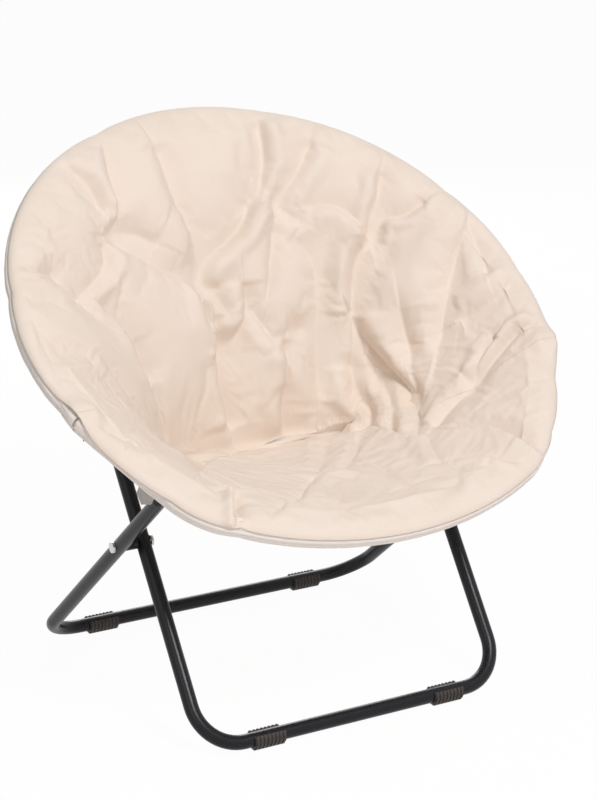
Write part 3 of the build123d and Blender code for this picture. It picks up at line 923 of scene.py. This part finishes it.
# the dart runs on to the hem, so it is pressed in once more there
dart = foldHeight(topPoints, topNormals, *foldLines[-2])
lumps = sum(high * fieldNoise(topPoints, size, seed) for high, size, seed in cushion["lumps"])
# quiet near the hem, so that the cover stays sewn to it
rowShare = np.repeat(np.arange(rows), around) / rows
quietStart, quietRun = cushion["quietRows"]
quiet = np.clip((rowShare - quietStart) / quietRun, 0, 1)
puff = puffedSheet(foldLines, tackPlaces)
print("cloth moved up to", round(float(np.linalg.norm(puff, axis=2).max()), 1), "mm")
puff = blurred(resampled(puff, rows, around), cloth["smooth"]).reshape(-1, 3)
topDone = topPoints + puff + topNormals * ((height + lumps) * quiet + dart)[:, None]
lift = ((topDone - topPoints) * topNormals).sum(1)
# no dent goes deeper than the filling is thick
dentLimit = cushion["dentLimit"]
softened = np.where(lift < 0, dentLimit * np.tanh(lift / dentLimit), lift)
topDone += topNormals * (softened - lift)[:, None]
topDone = clearOfHinges(clearOfHem(topDone))
underLift = cushion["underFollows"] * softened + underRelief(underRing)
underPoints += topNormals * (underLift * quiet)[:, None]
print("relief done", round(float(lift.min()), 1), round(float(lift.max()), 1))


def closedCushion():
    # top and underside as one closed skin, joined at the hem and capped at the crease
    top = topDone.reshape(rows, around, 3)
    low = underPoints.reshape(rows, around, 3)
    layers = list(top[::-1]) + list(low)
    points = np.array(layers).reshape(-1, 3)
    faces = gridFaces(len(layers), around)
    poleTop = points[:around].mean(0)
    poleLow = points[-around:].mean(0)
    points = np.concatenate([points, [poleTop, poleLow]])
    first, last = len(points) - 2, len(points) - 1
    base = (len(layers) - 1) * around
    caps = [(first, (i + 1) % around, i) for i in range(around)]
    caps += [(last, base + i, base + (i + 1) % around) for i in range(around)]
    return points, [tuple(face) for face in faces] + caps


wholePoints, wholeFaces = closedCushion()
wholeMesh = meshFrom("wholeCushion", wholePoints, wholeFaces)


def halfCushion(name, way):
    # the part of the cushion behind (1) or in front of (-1) the ring's fold line
    work = bmesh.new()
    work.from_mesh(wholeMesh)
    bmesh.ops.recalc_face_normals(work, faces=work.faces)
    cut = mm(fromRing(0, ring["hingeS"] + way * hem["gap"], 0))
    along = Vector((0, tiltCos, tiltSin))
    result = bmesh.ops.bisect_plane(
        work, geom=work.verts[:] + work.edges[:] + work.faces[:], plane_co=Vector(cut),
        plane_no=along, clear_inner=way > 0, clear_outer=way < 0, dist=cushion["cutMerge"],
    )
    edges = [part for part in result["geom_cut"] if isinstance(part, bmesh.types.BMEdge)]
    bmesh.ops.triangle_fill(work, edges=edges, use_beauty=True)
    for edge in edges:
        if edge.is_valid:
            edge.smooth = False
    mesh = bpy.data.meshes.new(name)
    writeMesh(work, mesh, lambda face: True)
    return newObject(name, mesh)


backCushion = halfCushion("backCushion", 1)
seatCushion = halfCushion("seatCushion", -1)
bpy.data.meshes.remove(wholeMesh)
print("cushion halves", len(backCushion.data.vertices), len(seatCushion.data.vertices))


def hingeEnds(way):
    # the hem's two ends, just beside the fold line
    s = ring["hingeS"] + way * hem["gap"]
    x = math.sqrt(ring["radius"] ** 2 - ring["hingeS"] ** 2)
    ends = np.array([(x, s, 0.0), (-x, s, 0.0)])
    return ends if way > 0 else ends[::-1]


def hemLine(way):
    # the tube's line behind (1) or in front of (-1) the hinges, from one hinge to the other
    line = denser(np.c_[ringOutline(), np.zeros(len(ringOutline()))], hem["step"])
    line = np.concatenate([line, line[:1]])
    s = line[:, 1]
    keep = s > ring["hingeS"] + hem["gap"] if way > 0 else s < ring["hingeS"] - hem["gap"]
    line = line[keep]
    # angles start at the front for the rear half and at the sitter's left for the front half
    start = math.pi / 2 if way > 0 else 0
    turn = (np.arctan2(line[:, 1], line[:, 0]) + start) % (2 * math.pi)
    line = line[np.argsort(turn)]
    ends = hingeEnds(way)
    return np.concatenate([ends[:1], line, ends[1:]])


def hemPiece(name, way):
    # a tube along one half of the ring, puffed and pinched like the cover's edge
    line = hemLine(way)
    tangent = np.gradient(line, axis=0)
    tangent /= np.linalg.norm(tangent, axis=1, keepdims=True)
    outward = np.stack([tangent[:, 1], -tangent[:, 0], 0 * tangent[:, 0]], -1)
    if (outward[len(line) // 2] @ line[len(line) // 2]) < 0:
        outward = -outward
    run = np.concatenate([[0], np.cumsum(np.linalg.norm(np.diff(line, axis=0), axis=1))])
    angles = np.arange(hem["around"]) * 2 * math.pi / hem["around"]
    degrees = np.degrees(angles)
    profile = np.full(len(angles), hem["radius"])
    for seam in hem["seamAngles"]:
        apart = (degrees - seam + 180) % 360 - 180
        profile = profile - hem["seamDepth"] * np.exp(-(apart / hem["seamWidth"]) ** 2)
    outerSide = np.clip(np.cos(angles), 0, 1)
    upperSide = np.clip(np.sin(2 * angles), 0, 1) * (angles < math.pi / 2)
    puffs, rises = scallop(line), hingeRise(line)
    points = []
    for place, out, far, puffed, rise in zip(line, outward, run, puffs, rises):
        shift = Vector((far / hem["wobbleLength"], way * hem["wobbleShift"], 0.0))
        wobble = hem["wobble"] * noise.noise(shift)
        size = profile + wobble + puffed * outerSide + rise * upperSide
        ringPoint = place + np.outer(np.cos(angles) * size, out)
        ringPoint[:, 2] += np.sin(angles) * size
        points.append(ringPoint)
    count = hem["around"]
    faces = [tuple(face) for face in gridFaces(len(line), count)]
    faces.append(tuple(range(count)))
    faces.append(tuple((len(line) - 1) * count + i for i in reversed(range(count))))
    mesh = meshFrom(name, gridToFrame(np.array(points)), faces)
    work = bmesh.new()
    work.from_mesh(mesh)
    writeMesh(work, mesh, lambda face: len(face.verts) == 4)
    return newObject(name, mesh)


rearHem = hemPiece("rearHem", 1)
frontHem = hemPiece("frontHem", -1)
print("hem done")

# Fabrics: plain-woven polyester canvas, tape and webbing. Matt, with a faint sheen at the edges,
# a fine grid of threads, and soft crinkles from sewing and filling
woven = {
    # name, two shades, how strongly the threads show
    "canvas": ("creamPolyesterCanvas", "#ecdfd3", "#e5d5c7", 0.5),
    "tape": ("offWhiteBindingTape", "#f0e9e2", "#e9e0d8", 0.8),
    "webbing": ("greyWebbing", "#b9b6b2", "#a5a29e", 1.0),
    "shadeSize": 90.0,
    "threadSpacing": 1.1,  # real threads are 0.35 mm apart, drawn coarser so that they show
    "threadWander": 0.6,
    "weaveHeight": 0.10,
    "crinkleSize": 26.0,
    "crinkleHeight": 1.6,
    "crinkleStrength": 0.35,
    "roughness": 0.82,
    "ior": 1.45,
    "specular": 0.25,
    "sheen": 0.12,
    "sheenRoughness": 0.5,
}
waveLength = 0.314  # what a wave texture of scale 1 repeats after


def wovenCloth(name, colourA, colourB, strength):
    material, tree, out = newMaterial(name)
    place = addNode(tree, "ShaderNodeTexCoord")
    tone = addNode(tree, "ShaderNodeTexNoise", {"Scale": 1 / mm(woven["shadeSize"]), "Detail": 3.0}, {
        "Vector": (place, "Object"),
    })
    colour = addNode(tree, "ShaderNodeMix", {
        "data_type": "RGBA", 6: toLinear(colourA), 7: toLinear(colourB),
    }, {0: (tone, 0)})
    # a plain weave repeats after two threads, each way
    threads = [addNode(tree, "ShaderNodeTexWave", {
        "wave_type": "BANDS", "bands_direction": way,
        "Scale": waveLength / mm(woven["threadSpacing"]) / 2,
        "Distortion": woven["threadWander"], "Detail": 1.0,
    }, {"Vector": (place, "Object")}) for way in "XZ"]
    weave = addNode(tree, "ShaderNodeMath", {"operation": "MULTIPLY"}, {
        0: (threads[0], "Fac"), 1: (threads[1], "Fac"),
    })
    crinkle = addNode(tree, "ShaderNodeTexNoise", {
        "Scale": 1 / mm(woven["crinkleSize"]), "Detail": 5.0, "Roughness": 0.55,
    }, {"Vector": (place, "Object")})
    fine = addNode(tree, "ShaderNodeBump", {
        "Strength": strength, "Distance": mm(woven["weaveHeight"]),
    }, {"Height": (weave, 0)})
    soft = addNode(tree, "ShaderNodeBump", {
        "Strength": woven["crinkleStrength"], "Distance": mm(woven["crinkleHeight"]),
    }, {"Height": (crinkle, 0), "Normal": (fine, 0)})
    surface = addNode(tree, "ShaderNodeBsdfPrincipled", {
        "Roughness": woven["roughness"], "IOR": woven["ior"], "Specular IOR Level": woven["specular"],
        "Sheen Weight": woven["sheen"], "Sheen Roughness": woven["sheenRoughness"],
    }, {"Base Color": (colour, 2), "Normal": (soft, 0)})
    tree.links.new(surface.outputs[0], out.inputs["Surface"])
    return material


# Frame: steel tube and pressings, powder-coated black. Glossy, with a fine orange peel,
# and a little duller in patches
coated = {
    # name, colour, least roughness
    "tube": ("blackPowderCoat", "#19191e", 0.24),
    "pressed": ("blackPressedSteel", "#1a1a1d", 0.34),
    "duller": 0.12,
    "dullSize": 30.0,
    "peelSize": 2.2,
    "peelHeight": 0.12,
    "peelStrength": 0.25,
    "ior": 1.5,
    "specular": 0.22,
}


def powderCoat(name, colour, rough):
    material, tree, out = newMaterial(name)
    place = addNode(tree, "ShaderNodeTexCoord")
    peel = addNode(tree, "ShaderNodeTexNoise", {"Scale": 1 / mm(coated["peelSize"]), "Detail": 2.0}, {
        "Vector": (place, "Object"),
    })
    tone = addNode(tree, "ShaderNodeTexNoise", {"Scale": 1 / mm(coated["dullSize"]), "Detail": 3.0}, {
        "Vector": (place, "Object"),
    })
    shine = addNode(tree, "ShaderNodeMapRange", {3: rough, 4: rough + coated["duller"]}, {
        0: (tone, 0),
    })
    bump = addNode(tree, "ShaderNodeBump", {
        "Strength": coated["peelStrength"], "Distance": mm(coated["peelHeight"]),
    }, {"Height": (peel, 0)})
    surface = addNode(tree, "ShaderNodeBsdfPrincipled", {
        "Base Color": toLinear(colour), "IOR": coated["ior"], "Specular IOR Level": coated["specular"],
    }, {"Roughness": (shine, 0), "Normal": (bump, 0)})
    tree.links.new(surface.outputs[0], out.inputs["Surface"])
    return material


# Rivets: zinc-plated steel. A satin silver grey, a little uneven in its shine
zinc = {
    "colour": "#cfcfcc",
    "roughness": (0.28, 0.42),
    "grain": 0.8,  # real grain is far finer, and neither shows at this distance
}


def zincSteel(name):
    material, tree, out = newMaterial(name)
    place = addNode(tree, "ShaderNodeTexCoord")
    grain = addNode(tree, "ShaderNodeTexNoise", {"Scale": 1 / mm(zinc["grain"]), "Detail": 2.0}, {
        "Vector": (place, "Object"),
    })
    smooth, dull = zinc["roughness"]
    shine = addNode(tree, "ShaderNodeMapRange", {3: smooth, 4: dull}, {0: (grain, 0)})
    surface = addNode(tree, "ShaderNodeBsdfPrincipled", {
        "Base Color": toLinear(zinc["colour"]), "Metallic": 1.0,
    }, {"Roughness": (shine, 0)})
    tree.links.new(surface.outputs[0], out.inputs["Surface"])
    return material


# Feet: moulded soft PVC. Dark brown and matt, with a slight mottle
pvc = {
    "colours": ("#2c2523", "#3a302c"),
    "grain": 1.5,
    "grainHeight": 0.15,
    "grainStrength": 0.3,
    "roughness": 0.55,
    "ior": 1.5,
}


def mouldedPvc(name):
    material, tree, out = newMaterial(name)
    place = addNode(tree, "ShaderNodeTexCoord")
    grain = addNode(tree, "ShaderNodeTexNoise", {"Scale": 1 / mm(pvc["grain"]), "Detail": 4.0}, {
        "Vector": (place, "Object"),
    })
    dark, light = [toLinear(shade) for shade in pvc["colours"]]
    colour = addNode(tree, "ShaderNodeMix", {"data_type": "RGBA", 6: dark, 7: light}, {0: (grain, 0)})
    bump = addNode(tree, "ShaderNodeBump", {
        "Strength": pvc["grainStrength"], "Distance": mm(pvc["grainHeight"]),
    }, {"Height": (grain, 0)})
    surface = addNode(tree, "ShaderNodeBsdfPrincipled", {
        "Roughness": pvc["roughness"], "IOR": pvc["ior"],
    }, {"Base Color": (colour, 2), "Normal": (bump, 0)})
    tree.links.new(surface.outputs[0], out.inputs["Surface"])
    return material


creamCanvas = wovenCloth(*woven["canvas"])
hemTape = wovenCloth(*woven["tape"])
greyWebbing = wovenCloth(*woven["webbing"])
blackPowder = powderCoat(*coated["tube"])
blackSteel = powderCoat(*coated["pressed"])
zincRivet = zincSteel("zincPlatedSteel")
ribbedFoot = mouldedPvc("mouldedFootClip")
finishes = {
    "tube": blackPowder, "hardware": blackSteel, "rivet": zincRivet, "foot": ribbedFoot,
    "webbing": greyWebbing, "hem": hemTape, "pad": creamCanvas,
}
slotOf = {part["node"]: part["material_slot"] for part in frame["record"]["subparts"]}
for name, node in nodes.items():
    node.data.materials.clear()
    node.data.materials.append(finishes[slotOf[name]])

for piece in (backCushion, seatCushion):
    piece.data.materials.append(creamCanvas)
for piece in (rearHem, frontHem):
    piece.data.materials.append(hemTape)
print("materials done")

# Bodies: each piece rides with its half of the ring and hides the CAD node that it replaces; the
# cushion halves get meshes of their own
for piece, body, node, slot in (
    (backCushion, "rear_ring", "back_pad", "pad"),
    (seatCushion, "front_ring", "seat_pad", "pad"),
    (rearHem, "rear_ring", "rear_hem_sleeve", "hem"),
    (frontHem, "front_ring", "front_hem_sleeve", "hem"),
):
    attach(piece, body)
    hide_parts(node)
for piece in (backCushion, seatCushion):
    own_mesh(piece)
